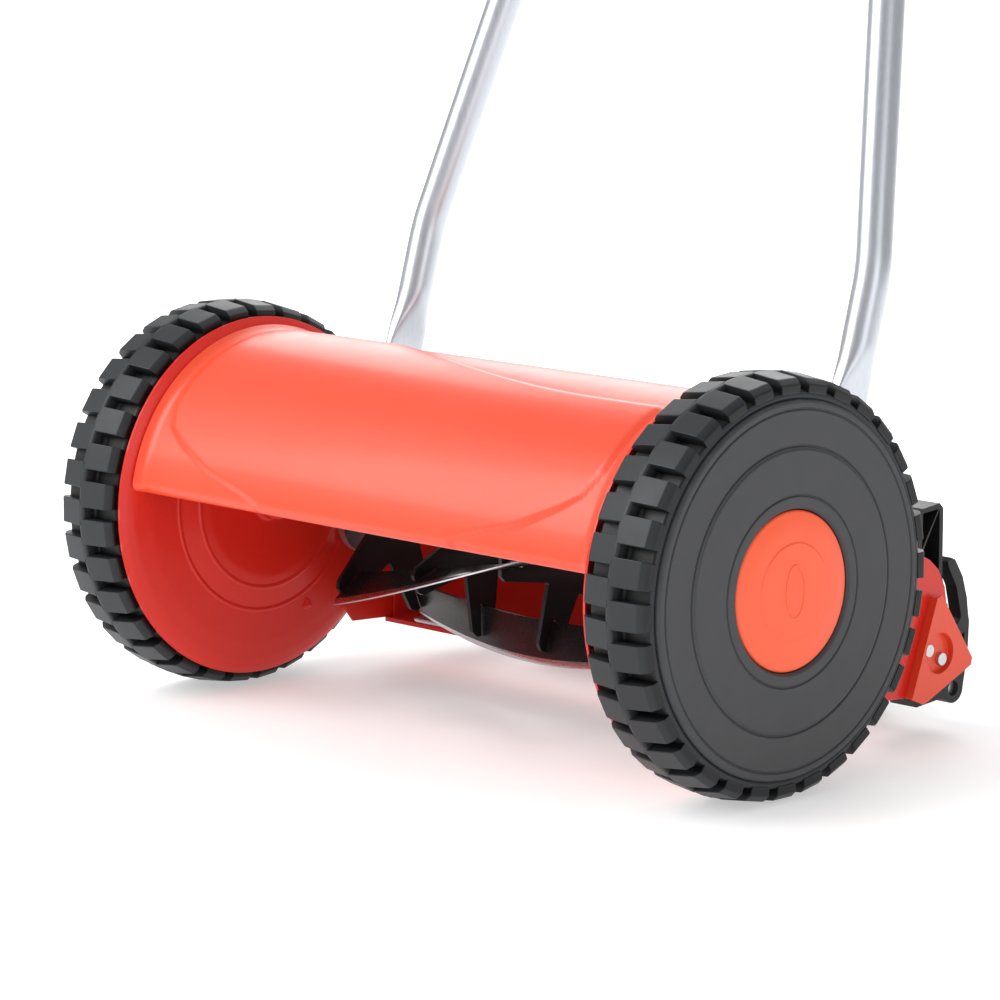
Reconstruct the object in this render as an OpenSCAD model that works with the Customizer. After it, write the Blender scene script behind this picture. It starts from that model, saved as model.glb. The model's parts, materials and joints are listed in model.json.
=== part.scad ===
// Push reel mower, 30 cm class: two geared wheels turn a five-blade reel against a
// fixed bedknife, a roller at the back sets the height of cut, and a tubular handle
// swings on the side plates. Millimetres, +Z up, X across the mower, the handle
// towards +Y, the right wheel towards +X, the ground at z = 0.

/* [Wheels] */
// Rolling radius of a wheel at the middle of its tread
wheel_r = 108; // [102:1:116]
// Width of the tread
tread_w = 41.2; // [34:0.2:46]
// Distance from the middle of the mower to the inner edge of a tyre
wheel_inner_x = 179.3; // [179:0.1:200]
// Drop from the middle of the tread to its shoulders
tread_crown = 2.1; // [0:0.1:4]
// Tread lugs in each of the two rows
lug_count = 32; // [24:1:40]
// Share of the lug pitch that is a gap
lug_gap_share = 0.38; // [0.2:0.01:0.5]
// Depth of the gaps below the shoulder
lug_depth = 5.3; // [2:0.1:7]
// Radial thickness of the tyre at its shoulder
tyre_depth = 10.6; // [8:0.1:14]
// Thickness of the wheel's rim
rim_wall = 4.7; // [3:0.1:6]
// Thickness of the wheel's web
web_t = 4; // [3:0.5:6]
// How far the wheel's face stands outside the tyre
face_proud = 1.7; // [0.5:0.1:3]
// Radius of the raised middle of the wheel's face
face_step_r = 71; // [60:1:80]
// Radius of the red hub cap
cap_r = 40.5; // [30:0.5:48]
// How far the cap stands outside the tyre
cap_proud = 4.3; // [3:0.1:8]

/* [Axle] */
// Diameter of the axle rod
axle_d = 10; // [8:0.5:12]
// Outer diameter of the tube that spaces the side plates
cross_tube_d = 16; // [14:0.5:20]
// Wall of the bush that a wheel turns on
bush_wall = 3; // [2:0.5:4]
// Diameter of the wheel's hub
hub_d = 28; // [24:1:36]

/* [Gears] */
// Size of the gear teeth (module)
gear_module = 2; // [2:0.05:2.1]
// Teeth of the ring gear inside each wheel
ring_teeth = 86; // [84:1:86]
// Teeth of the pinion on each end of the reel shaft
pinion_teeth = 14; // [12:1:16]
// Width of a pinion
pinion_w = 14; // [8:1:16]
// Pinion's place round the axle, below the level line
mesh_angle = 17; // [10:1:30]
// Play between the teeth, measured along the pitch circle
backlash = 0.3; // [0.1:0.05:0.5]

/* [Reel] */
// Radius of the circle that the blades cut
reel_r = 60; // [54:1:62]
// Length of the reel
reel_len = 282; // [240:2:300]
// Width of a blade strip
blade_w = 24; // [16:1:28]
// Thickness of a blade strip
blade_t = 2; // [1.5:0.1:3]
// Twist of a blade from one end of the reel to the other
blade_twist = 86; // [40:1:110]
// Angle of the first blade at the middle of the reel
blade_phase = 178; // [0:1:359]
// Diameter of the reel shaft
shaft_d = 12; // [10:0.5:14]
// Radius that sets the width of a spider and its rivets' place
disc_r = 43; // [40:1:46]
// Thickness of a spider
disc_t = 2.5; // [2:0.5:4]

/* [Frame] */
// Gauge of the side plates
plate_t = 1.6; // [1.2:0.1:2.5]
// Gauge of the deck
deck_t = 1.2; // [1:0.1:2]
// Radius of the round pan of a side plate
pan_r = 100; // [96:1:104]
// Distance from the middle to the inner face of a pan's rim
pan_rim_x = 175.8; // [172:0.2:176]
// Distance from the middle to the inner face of a pan's hub
pan_hub_x = 165.9; // [160:0.2:167]
// Radius of the deck
deck_r = 92.9; // [88:0.1:95]
// Angle of the deck's front edge, from the back over the top
deck_front = 168.7; // [140:0.1:175]
// Angle of the deck's back edge
deck_back = 52; // [45:1:80]
// Angle of the bedknife behind the bottom of the reel
bedknife_angle = 20; // [10:1:30]
// Gap between the reel and the bedknife
cut_gap = 0.3; // [0.3:0.1:1]
// Depth of the bedknife, front to back
bedknife_d = 26; // [20:1:30]
// Thickness of the bedknife
bedknife_t = 3; // [2:0.5:4]

/* [Roller] */
// Radius of the rear roller
roller_r = 23; // [20:1:24]
// Length of the rear roller
roller_len = 220; // [180:5:270]
// Distance of the roller's axle behind the wheels' axle
roller_y = 188; // [186:1:192]
// Diameter of the roller's rod
roller_rod_d = 8; // [6:1:10]
// Travel of the roller up into the frame, for a lower cut
height_up = 10; // [6:1:12]
// Travel of the roller down from the frame, for a higher cut
height_down = 10; // [6:1:12]
// Radius of the catcher hook's seat
hook_r = 4.5; // [3:0.1:5]
// Width of a height bracket
bracket_w = 18; // [14:1:20]
// Width of the catcher hook
hook_w = 8; // [6:1:12]

/* [Handle] */
// Diameter of the handle tubes
tube_d = 19; // [16:0.5:19.5]
// Wall of the handle tubes
tube_wall = 1.2; // [1:0.1:2]
// Lean of the handle behind the vertical
handle_lean = 16; // [10:1:30]
// Place of the handle's pivot behind the axle
pivot_y = 84.5; // [80:0.5:88]
// Place of the handle's pivot above the axle
pivot_z = 12; // [10:0.5:20]
// Thickness of the flattened foot of a tube
foot_t = 5; // [4:0.2:5]
// Width of the flattened foot of a tube
foot_w = 26; // [22:1:28]
// Height of the foot's upper end above the pivot
foot_top = 92; // [70:1:110]
// Height of the bend above the pivot
bend_z = 137; // [125:1:160]
// Angle that the tubes lean inwards above the bend
bend_angle = 10.8; // [0:0.2:14]
// Height of the second bend above the pivot
second_bend_z = 300; // [260:5:340]
// Height of the folding joint above the pivot
fold_z = 380; // [370:5:480]
// Height of the handle's top bar above the pivot
handle_top = 1080; // [900:10:1200]
// Corner radius of the top bar
corner_r = 45; // [35:5:60]
// Thickness of the foam of the grip
grip_t = 5; // [3:0.5:8]

/* [Hidden] */
// The blades of the reel and the spiders that carry them, each a node of its own
blade_count = 5;
disc_count = 5;

red = [0.90, 0.13, 0.08];
dark_grey = [0.24, 0.24, 0.25];
black = [0.07, 0.07, 0.08];
steel = [0.72, 0.73, 0.75];
silver = [0.80, 0.81, 0.83];

round_fn = 96;
fit = 0.05;
clear = 0.3;
cut_in = 150;
cut_out = 190;
pressure_angle = 20;

// Wheels
tyre_r_in = wheel_r - tread_crown - tyre_depth;
wheel_outer_x = wheel_inner_x + tread_w;
wheel_mid_x = wheel_inner_x + tread_w / 2;
shoulder_r = wheel_r - tread_crown;
face_x = wheel_outer_x + face_proud;
face_mid_x = face_x + 0.9;
cap_top_x = wheel_outer_x + cap_proud;
rim_r = tyre_r_in - fit;
rim_r_in = rim_r - rim_wall;
rim_back_x = wheel_inner_x + 2.7;
cap_floor_x = face_x - 5.2;
cap_wall = 2.5;
bush_r = axle_d / 2 + fit;
bush_out_r = bush_r + bush_wall;
hub_bore_r = bush_out_r + fit;
hub_back_x = rim_back_x + 1.3;
washer_x = cap_floor_x - 5;
washer_t = 1.5;
clip_x = washer_x + washer_t + 2 * fit;
clip_t = 1.2;
axle_half = clip_x + clip_t + 1.6;
clip_groove = 0.8;
hub_recess_r = hub_d / 2 - 3;

// Gears
pitch_gap = gear_module * (ring_teeth - pinion_teeth) / 2;
reel_y = pitch_gap * cos(mesh_angle);
reel_z = -pitch_gap * sin(mesh_angle);
gear_x = hub_back_x + 2.5;
ring_band_r = rim_r_in + 1;
shaft_r = shaft_d / 2;
key_w = 4;
key_reach = 1.8;
key_len = pinion_w - 3;
pocket_r = shaft_r + key_reach + 0.6;
shaft_half = gear_x + pinion_w + 3.6;

// Frame
pan_step_r = 61.6;
// radius and rise of the points between the pan's flat and its rim
pan_mid = [82, 0];
pan_low_rim = [92, 1.9];
pan_high_rim = [97, 3.7];
tail_r = 86;
pan_hub_r = 50.5;
pan_step_x = pan_hub_x + 3;
pan_mid_x = pan_step_x + 1.4;
plate_x = pan_mid_x + 0.3;
bearing_r = shaft_r + 7;
bedknife_y = reel_y + (reel_r + cut_gap) * sin(bedknife_angle);
bedknife_z = reel_z - (reel_r + cut_gap) * cos(bedknife_angle);
carrier_z = bedknife_z - bedknife_t;
carrier_t = 2.5;
knife_screw_r = 2.5;
knife_screw_y = bedknife_y + bedknife_d - 9;
carrier_half = plate_x - clear;
roller_z = roller_r - wheel_r;

// Rear end
bracket_x = plate_x - clear - bracket_w;
bracket_y = roller_y - 33;
bracket_back_y = bracket_y + 22.5;
bracket_top_z = 17;
bracket_foot_z = -91;
hook_y = roller_y + 1;
hook_z = -46;
hook_arm = 6;
bracket_wall = 3;
screw_r = 2;
slot_r = screw_r + 0.3;
height_holes = [[bracket_y + 17, -66], [bracket_y + 6.5, -60]];
dish = [bracket_y + 13, -62];
dish_r = 11;

// Handle
foot_x = pan_step_x + 0.2 - foot_t / 2;
tube_r = tube_d / 2;
fold_x = foot_x - (second_bend_z - bend_z) * tan(bend_angle);
lower_end = fold_z + 22;
upper_x = fold_x - tube_d - 2;
bolt_r = 4;
fold_bolt_r = 3;
knob_x = fold_x + tube_r + 1.5;
knob_r = 16;
grip_r = tube_r + grip_t;

// The whole mower is centred front to back on its own length
front_y = -wheel_r;
back_y = pivot_y + handle_top * sin(handle_lean) + grip_r;
centre_y = (front_y + back_y) / 2;

// ---- helpers ----

// Lifts the mower from its axle to the ground and centres its length
module on_axle() {
    translate([0, -centre_y, wheel_r]) children();
}

// Turns (Y, Z, X) drawings into place: outlines in Y and Z, heights along X
module across() {
    rotate([90, 0, 90]) children();
}

// The same piece for the right side, or mirrored for the left
module on_side(side) {
    mirror([side < 0 ? 1 : 0, 0, 0]) children();
}

module bar_x(r, x0, x1, y = 0, z = 0, fn = round_fn) {
    across() translate([y, z, x0]) cylinder(r = r, h = x1 - x0, $fn = fn);
}

// Angle that an involute has unrolled at radius r from its base circle of radius base_r
function involute(base_r, r) =
    r <= base_r ? 0 : sqrt(r * r / base_r / base_r - 1) * 180 / PI - acos(base_r / r);
function pitch_r(teeth) = gear_module * teeth / 2;
function base_r(teeth) = pitch_r(teeth) * cos(pressure_angle);

// Half of a tooth's angle at radius r, less its share of the play
function half_tooth(teeth, r, play) =
    90 / teeth + involute(base_r(teeth), pitch_r(teeth)) - involute(base_r(teeth), r)
    - play / 2 / pitch_r(teeth) * 180 / PI;

// Outline of an outside gear; a ring gear's hole is the same outline with its play added
function tooth_points(teeth, radii, play, turn) = [
    for (i = [0 : teeth - 1])
        each concat(
            [for (r = radii)
                let (a = turn + i * 360 / teeth - half_tooth(teeth, r, play))
                [r * cos(a), r * sin(a)]],
            [for (k = [len(radii) - 1 : -1 : 0])
                let (r = radii[k], a = turn + i * 360 / teeth + half_tooth(teeth, r, play))
                [r * cos(a), r * sin(a)]])];

// ---- wheels ----

module tyre() {
    gap = 2 * PI * shoulder_r / lug_count * lug_gap_share;
    floor_r = shoulder_r - lug_depth;
    color(dark_grey) across() difference() {
        rotate_extrude($fn = 192) polygon([
            [tyre_r_in, wheel_inner_x + 1], [shoulder_r - 3, wheel_inner_x],
            [shoulder_r, wheel_inner_x + 3], [wheel_r, wheel_mid_x],
            [shoulder_r, wheel_outer_x - 3], [shoulder_r - 3, wheel_outer_x],
            [tyre_r_in, wheel_outer_x - 1]]);
        for (i = [0 : lug_count - 1]) {
            rotate([0, 0, i * 360 / lug_count])
                translate([floor_r, -gap / 2, wheel_mid_x + 0.6]) cube([lug_depth * 2, gap, tread_w]);
            rotate([0, 0, (i + 0.5) * 360 / lug_count])
                translate([floor_r, -gap / 2, wheel_mid_x - 0.6 - tread_w])
                    cube([lug_depth * 2, gap, tread_w]);
        }
    }
}

module wheel() {
    web_x = face_x - web_t;
    color(dark_grey) across() {
        difference() {
            rotate_extrude($fn = 192) polygon([
                [hub_bore_r, hub_back_x], [hub_d / 2, hub_back_x], [hub_d / 2, web_x - 2.5],
                [cap_r + 3, web_x - 2.5], [cap_r + 6, web_x],
                [rim_r_in, web_x], [rim_r_in, rim_back_x], [rim_r, rim_back_x], [rim_r, face_x - 0.8],
                [rim_r - 0.8, face_x], [face_step_r + 1, face_x], [face_step_r, face_mid_x],
                [cap_r + 0.4, face_mid_x], [cap_r + 0.4, cap_floor_x + 1], [cap_r + 0.4, cap_floor_x],
                [hub_recess_r, cap_floor_x], [hub_recess_r, washer_x - 0.3],
                [hub_bore_r, washer_x - 0.3]]);
        }
        translate([0, 0, gear_x - 1]) linear_extrude(pinion_w + 2) difference() {
            circle(r = ring_band_r, $fn = 192);
            polygon(tooth_points(ring_teeth, ring_radii(), -backlash / 2, -mesh_angle));
        }
    }
}
function ring_radii() = [
    for (k = [0 : 4]) gear_module * (ring_teeth / 2 - 0.65 + k * (0.65 + 1.2) / 4)];
function pinion_radii() = [
    for (k = [0 : 5]) gear_module * (pinion_teeth / 2 - 1.1 + k * (1.1 + 0.95) / 5)];

module hub_cap() {
    step_r = cap_r * 0.6;
    color(red) across() rotate_extrude($fn = 128) polygon([
        [0, cap_top_x - cap_wall], [cap_r - 6, cap_top_x - cap_wall - 0.6],
        [cap_r - 3, cap_top_x - cap_wall - 1.6], [cap_r - 3, cap_floor_x],
        [cap_r, cap_floor_x], [cap_r, cap_top_x - 1.4], [cap_r - 1.2, cap_top_x - 0.5],
        [step_r + 1, cap_top_x - 0.1], [step_r, cap_top_x], [0, cap_top_x]]);
}

module wheel_bush() {
    color(black) across() difference() {
        translate([0, 0, hub_back_x]) cylinder(r = bush_out_r, h = washer_x - 0.3 - hub_back_x, $fn = 96);
        translate([0, 0, 0]) cylinder(r = bush_r, h = wheel_outer_x, $fn = 96);
    }
}

module axle_rod() {
    color(steel) difference() {
        bar_x(axle_d / 2, -axle_half, axle_half);
        for (side = [-1, 1])
            on_side(side) across() translate([0, 0, clip_x]) difference() {
                cylinder(r = axle_d, h = clip_t, $fn = 96);
                translate([0, 0, -1]) cylinder(r = axle_d / 2 - clip_groove, h = clip_t + 2, $fn = 96);
            }
    }
}

module ring_x(r_in, r_out, x, t, y = 0, z = 0) {
    across() translate([y, z, x]) difference() {
        cylinder(r = r_out, h = t, $fn = 64);
        translate([0, 0, -1]) cylinder(r = r_in, h = t + 2, $fn = 64);
    }
}

// A flat spring clip with an open mouth
module open_clip(r_in, r_out, x, t, y = 0, z = 0) {
    difference() {
        ring_x(r_in, r_out, x, t, y, z);
        across() translate([y, z - r_in * 0.6, x - 1]) cube([r_out * 2, r_in * 1.2, t + 2]);
    }
}

module axle_washers() {
    color(steel) for (side = [-1, 1])
        on_side(side) ring_x(axle_d / 2 + fit, hub_recess_r - 1.5, washer_x, washer_t);
}

module axle_clips() {
    color(steel) for (side = [-1, 1])
        on_side(side) open_clip(axle_d / 2 - clip_groove + fit, axle_d / 2 + 3, clip_x + 0.05,
            clip_t - 0.1);
}

// ---- frame ----

// One face of the pan from its middle to its rim, moved outwards by t
function dish_line(t) = [
    [0, pan_hub_x + t], [pan_hub_r, pan_hub_x + t], [pan_step_r, pan_step_x + t],
    for (p = [pan_mid, pan_low_rim, pan_high_rim]) [p[0], pan_mid_x + p[1] + t],
    [pan_r, pan_rim_x + t]];

// Round pan, dished towards the middle of the mower, with its tail behind the reel
module side_plate() {
    hole_r = axle_d / 2 + 0.1;
    tail = [[66, -80], [150, -84], [bracket_y + 27, -80], [bracket_y + 24, -36],
        [bracket_y + 22.5, -28], [bracket_y + 17, -18], [bracket_y + 10, -12], [150, -5],
        [104, 4], [90, 12], [60, 20], [60, -60]];
    color(red) difference() {
        union() {
            across() rotate_extrude($fn = 180)
                polygon(concat(dish_line(0), [for (i = [6 : -1 : 0]) dish_line(plate_t)[i]]));
            across() translate([0, 0, plate_x]) linear_extrude(plate_t) difference() {
                polygon(tail);
                circle(r = tail_r, $fn = 180);
            }
        }
        bar_x(hole_r, cut_in, cut_out);
        bar_x(bearing_r + fit, cut_in, cut_out, reel_y, reel_z);
        bar_x(bolt_r + fit, cut_in, cut_out, pivot_y, pivot_z);
        for (p = height_holes) bar_x(screw_r + fit, cut_in, cut_out, p[0], p[1]);
        for (p = carrier_holes()) bar_x(screw_r + fit, cut_in, cut_out, p[0], p[1]);
    }
}
function carrier_holes() = [[bedknife_y + 17, bedknife_z + 12], [bedknife_y + 34, bedknife_z + 22]];

module cross_tube() {
    collar_r = cross_tube_d / 2 + 4;
    half = pan_hub_x - fit;
    color(red) difference() {
        union() {
            bar_x(cross_tube_d / 2, -half, half);
            for (side = [-1, 1]) on_side(side) bar_x(collar_r, half - 4, half);
        }
        bar_x(axle_d / 2 + 0.1, -half - 1, half + 1);
    }
}

// Part-round sheet over the reel, flared at both ends to meet the pans
module deck() {
    flare = [[deck_r, pan_hub_x - 0.6], [deck_r + 0.8, pan_step_x - 0.6], [deck_r + 2.4, pan_mid_x],
        [pan_r - 3.6, pan_mid_x + 2.2]];
    top = concat([for (i = [len(flare) - 1 : -1 : 0]) [flare[i][0], -flare[i][1]]], flare);
    under = [for (i = [len(top) - 1 : -1 : 0]) [top[i][0] - deck_t, top[i][1]]];
    color(red) across() rotate([0, 0, deck_back])
        rotate_extrude(angle = deck_front - deck_back, $fn = 180) polygon(concat(top, under));
}

module bedknife() {
    half = reel_len / 2 + 4;
    color(steel) difference() {
        across() translate([0, 0, -half]) linear_extrude(2 * half) polygon([
            [bedknife_y, bedknife_z], [bedknife_y + bedknife_d, bedknife_z],
            [bedknife_y + bedknife_d, bedknife_z - bedknife_t],
            [bedknife_y + 1.5, bedknife_z - bedknife_t], [bedknife_y, bedknife_z - 1]]);
        for (x = screw_line())
            translate([x, knife_screw_y, carrier_z - 1])
                cylinder(r = knife_screw_r + fit, h = bedknife_t + 2, $fn = 48);
    }
}
function screw_line() = [for (i = [-2 : 2]) i * reel_len / 5];

// Folded sheet under the bedknife that rises behind the reel
module bedknife_carrier() {
    y0 = bedknife_y + 1;
    y1 = bedknife_y + bedknife_d + 4;
    z0 = carrier_z - fit;
    t = carrier_t;
    rise = [[y1, z0], [y1 + 10, z0 + 9], [y1 + 22, z0 + 26], [y1 + 28, z0 + 44]];
    section = concat([[y0, z0]], rise,
        [[y1 + 28 + t, z0 + 44], [y1 + 22 + t, z0 + 25], [y1 + 11, z0 + 7], [y1 + 1, z0 - t],
            [y0, z0 - t]]);
    color(red) difference() {
        union() {
            across() translate([0, 0, -carrier_half]) linear_extrude(2 * carrier_half)
                polygon(section);
            for (side = [-1, 1])
                on_side(side) across() translate([0, 0, carrier_half - plate_t])
                    linear_extrude(plate_t) polygon([
                        [y0 + 6, z0], [y1, z0], [y1 + 10, z0 + 9], [y1 + 22, z0 + 26],
                        [y1 + 26, z0 + 38], [y1 + 10, z0 + 38], [y0 + 6, z0 + 16]]);
        }
        for (x = screw_line())
            translate([x, knife_screw_y, z0 - t - 1])
                cylinder(r = knife_screw_r + fit, h = t + 2, $fn = 48);
        for (p = carrier_holes())
            bar_x(screw_r + fit, -cut_out, cut_out, p[0], p[1]);
    }
}

// Pan-head screws from below, through the carrier and the bedknife
module bedknife_screws() {
    color(steel) for (x = screw_line())
        translate([x, knife_screw_y, 0]) {
            translate([0, 0, carrier_z - fit - carrier_t - 2]) cylinder(r = knife_screw_r + 2, h = 2, $fn = 48);
            translate([0, 0, carrier_z - fit - carrier_t - 1])
                cylinder(r = knife_screw_r, h = carrier_t + bedknife_t + 1.5, $fn = 48);
        }
}

module carrier_screws() {
    outer = plate_x + plate_t;
    color(steel) for (side = [-1, 1], p = carrier_holes())
        on_side(side) {
            bar_x(screw_r, carrier_half - plate_t - 5, outer + 1, p[0], p[1], 48);
            bar_x(screw_r * 1.8, outer, outer + 2.2, p[0], p[1], 48);
            bar_x(screw_r * 1.8, carrier_half - plate_t - 4, carrier_half - plate_t - fit, p[0], p[1], 6);
        }
}

// ---- reel ----

module reel_bearing() {
    x0 = plate_x - 9;
    x1 = pan_mid_x + plate_t + 2;
    color(black) difference() {
        union() {
            bar_x(bearing_r, x0, x1, reel_y, reel_z);
            bar_x(bearing_r + 5, x0, x0 + 5, reel_y, reel_z);
        }
        bar_x(shaft_r + fit, x0 - 1, x1 + 1, reel_y, reel_z);
    }
}

module reel_shaft() {
    color(steel) difference() {
        bar_x(shaft_r, -shaft_half, shaft_half, reel_y, reel_z);
        for (side = [-1, 1]) on_side(side) {
            across() translate([reel_y - key_w / 2, reel_z - 3.2, key_x() - 0.2])
                cube([key_w, 20, key_len + 0.4]);
            across() translate([reel_y, reel_z, pinion_clip_x()]) difference() {
                cylinder(r = shaft_d, h = clip_t, $fn = 96);
                translate([0, 0, -1]) cylinder(r = shaft_r - clip_groove, h = clip_t + 2, $fn = 96);
            }
        }
    }
}
function key_x() = gear_x + (pinion_w - key_len) / 2;
function pinion_clip_x() = gear_x + pinion_w + 0.4;

module drive_key() {
    color(steel) across() translate([reel_y - key_w / 2 + 0.1, reel_z - 3, key_x()])
        cube([key_w - 0.2, shaft_r - 0.4 + 3, key_len]);
}

module pinion() {
    color(steel) across() translate([reel_y, reel_z, gear_x]) linear_extrude(pinion_w)
        difference() {
            polygon(tooth_points(pinion_teeth, pinion_radii(), backlash / 2, -mesh_angle));
            circle(r = shaft_r + fit, $fn = 96);
            for (a = [90, 210, 330])
                rotate([0, 0, a]) translate([0, -key_w / 2 - 0.3]) square([pocket_r, key_w + 0.6]);
        }
}

module pinion_clips() {
    color(steel) for (side = [-1, 1])
        on_side(side) open_clip(shaft_r - clip_groove + fit, shaft_r + 3, pinion_clip_x() + 0.05,
            clip_t - 0.1, reel_y, reel_z);
}

function disc_x(i) = -reel_len / 2 + disc_t / 2 + 1 + i * (reel_len - disc_t - 2) / (disc_count - 1);
function blade_angle(b, x) = blade_phase + b * 360 / blade_count - blade_twist * x / reel_len;

// Pressed spider with straight-sided arms, each split by a notch that holds its blade
module reel_disc(i) {
    x = disc_x(i);
    arm_root = disc_r * 0.33;
    arm_tip = disc_r * 0.19;
    arm_end = reel_r - 7;
    color(black) across() translate([reel_y, reel_z, x - disc_t / 2])
        linear_extrude(disc_t) difference() {
            union() {
                circle(r = disc_r / 2, $fn = 96);
                for (b = [0 : blade_count - 1]) rotate([0, 0, blade_angle(b, x)]) polygon([
                    [0, -arm_root], [arm_end - 3, -arm_tip], [arm_end, -arm_tip + 3],
                    [arm_end, arm_tip - 3], [arm_end - 3, arm_tip], [0, arm_root]]);
            }
            circle(r = shaft_r + fit, $fn = 96);
            for (b = [0 : blade_count - 1])
                rotate([0, 0, blade_angle(b, x)])
                    translate([reel_r - blade_w - 1, -blade_t / 2 - 0.75]) square([blade_w, blade_t + 1.5]);
        }
}

module reel_blade(b) {
    steps = 26;
    color(black) across() translate([reel_y, reel_z, -reel_len / 2])
        rotate([0, 0, blade_angle(b, -reel_len / 2)])
            linear_extrude(height = reel_len, twist = blade_twist, slices = steps)
                translate([reel_r - blade_w, -blade_t / 2]) square([blade_w, blade_t]);
}

// A rivet head beside each blade, on each disc
module reel_rivets() {
    rivet_r = 2.6;
    rivet_h = 1.6;
    beside_blade = 9;
    color(steel) for (i = [0 : disc_count - 1], b = [0 : blade_count - 1])
        let (x = disc_x(i), side = i == 0 ? 1 : -1)
            across() translate([reel_y, reel_z, x + side * disc_t / 2])
                rotate([0, 0, blade_angle(b, x) + beside_blade])
                    translate([disc_r - 3, 0, side > 0 ? 0 : -rivet_h])
                        cylinder(r = rivet_r, h = rivet_h, $fn = 24);
}

// ---- rear end ----

// Red pressed corner outside the tail, dished where its screws sit
module corner_bracket() {
    x0 = plate_x + plate_t;
    x1 = pan_rim_x + plate_t;
    top = [bracket_y + 10.5, -32];
    heel = [bracket_y - 9, -84];
    color(red) difference() {
        union() {
            across() translate([0, 0, x1 - plate_t]) linear_extrude(plate_t)
                polygon([heel, top, [top[0] + 4, top[1] + 1], [bracket_y + 40, -68],
                    [bracket_y + 39, -72], [heel[0] + 10, heel[1] - 4]]);
            across() translate([0, 0, x0]) linear_extrude(x1 - x0)
                polygon([heel, top, [top[0] + plate_t, top[1]], [heel[0] + plate_t + 1, heel[1]]]);
            bar_x(dish_r + plate_t, x0, x1, dish[0], dish[1]);
        }
        bar_x(dish_r, x0 + plate_t, x1 + 1, dish[0], dish[1]);
        for (p = height_holes) bar_x(screw_r + fit, x0 - 1, x1 + 1, p[0], p[1]);
    }
}

// Black moulded bracket that holds the roller and hooks the grass catcher
module height_bracket() {
    x1 = bracket_x + bracket_w;
    w = bracket_wall;
    arm_r = hook_r + hook_arm;
    rod_boss_r = roller_rod_d / 2 + 4;
    color(black) difference() {
        across() union() {
            translate([0, 0, bracket_x]) linear_extrude(bracket_w) {
                polygon([[bracket_y + 3, bracket_foot_z], [bracket_y, bracket_foot_z + 4],
                    [bracket_y, -40], [bracket_y + 2.5, bracket_top_z - 4],
                    [bracket_y + 6, bracket_top_z - 1.5], [bracket_back_y - 3, bracket_top_z],
                    [bracket_back_y, bracket_top_z - 3], [bracket_back_y, -23],
                    [hook_y - hook_r - 1, hook_z], [hook_y - 2, bracket_foot_z + 6],
                    [bracket_back_y + 2, bracket_foot_z + 2]]);
                translate([roller_y, roller_z]) circle(r = rod_boss_r, $fn = 64);
            }
            translate([0, 0, x1 - hook_w]) linear_extrude(hook_w) {
                translate([hook_y, hook_z]) {
                    circle(r = arm_r, $fn = 64);
                    polygon([[hook_r, 0], [arm_r, 0], [arm_r - 1.2, 9], [arm_r - 5, 21],
                        [-1, 31], [-4.5, 32.5], [-7, 30.5], [-6, 27], [0, 17]]);
                }
                polygon([[hook_y - hook_r, hook_z], [hook_y + arm_r, hook_z],
                    [hook_y + arm_r + 1, hook_z - 4], [hook_y + arm_r, -68],
                    [roller_y + rod_boss_r, roller_z], [roller_y - rod_boss_r, roller_z]]);
            }
        }
        // catcher seat, open at the top
        across() translate([0, 0, bracket_x - 1]) linear_extrude(bracket_w + 2) {
            translate([hook_y, hook_z]) circle(r = hook_r, $fn = 64);
            polygon([[hook_y - hook_r, hook_z], [hook_y + hook_r, hook_z], [hook_y + 0.5, hook_z + 16],
                [hook_y - 6.5, hook_z + 27], [hook_y - 7.5, hook_z + 31],
                [bracket_back_y + 0.1, hook_z + 40],
                [bracket_back_y + 0.1, -23]]);
        }
        // hollow of the channel, open outwards, with slanted ribs left in it
        across() translate([0, 0, bracket_x + w]) linear_extrude(bracket_w) {
            polygon([[bracket_y + w + 3, bracket_top_z - w - 1],
                [bracket_back_y - w - 1, bracket_top_z - w],
                [bracket_y + w + 2.4, -6]]);
            polygon([[bracket_back_y - w, bracket_top_z - w], [bracket_back_y - w, -22],
                [bracket_back_y - w + 4, -46], [bracket_y + w, -46], [bracket_y + w, -40],
                [bracket_y + w + 1.6, -10]]);
            polygon([[hook_y + 3, hook_z - arm_r - 1], [hook_y + arm_r - w, hook_z - arm_r + 1],
                [hook_y + arm_r - w, -68], [hook_y + 4, -72]]);
        }
        // roller rod, height slots
        bar_x(roller_rod_d / 2 + fit, bracket_x - 1, x1 + 1, roller_y, roller_z);
        for (p = height_holes)
            across() translate([0, 0, bracket_x - 1]) linear_extrude(bracket_w + 2) {
                translate([p[0], p[1] + height_up]) circle(r = slot_r, $fn = 48);
                translate([p[0], p[1] - height_down]) circle(r = slot_r, $fn = 48);
                translate([p[0] - slot_r, p[1] - height_down])
                    square([2 * slot_r, height_up + height_down]);
            }
    }
}

// Pan-head screws through the corner, the tail and the bracket's slots, with washers and nuts
module height_screws() {
    head_x = plate_x + 2 * plate_t;
    head_r = 3.4;
    color(steel) for (side = [-1, 1], p = height_holes) on_side(side) {
        bar_x(screw_r, bracket_x - 8, head_x + 1, p[0], p[1], 48);
        bar_x(head_r, head_x, head_x + 2.2, p[0], p[1], 48);
        bar_x(head_r + 0.6, bracket_x - clear - 1.2, bracket_x - clear, p[0], p[1], 48);
        bar_x(head_r, bracket_x - clear - 5, bracket_x - clear - 1.2, p[0], p[1], 6);
    }
}

module roller_rod() {
    half = bracket_x + bracket_w - 3;
    color(steel) difference() {
        bar_x(roller_rod_d / 2, -half, half, roller_y, roller_z);
        for (side = [-1, 1]) on_side(side)
            across() translate([roller_y, roller_z, bracket_x - clip_t - 0.6]) difference() {
                cylinder(r = roller_rod_d, h = clip_t, $fn = 64);
                translate([0, 0, -1])
                    cylinder(r = roller_rod_d / 2 - clip_groove, h = clip_t + 2, $fn = 64);
            }
    }
}

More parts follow.
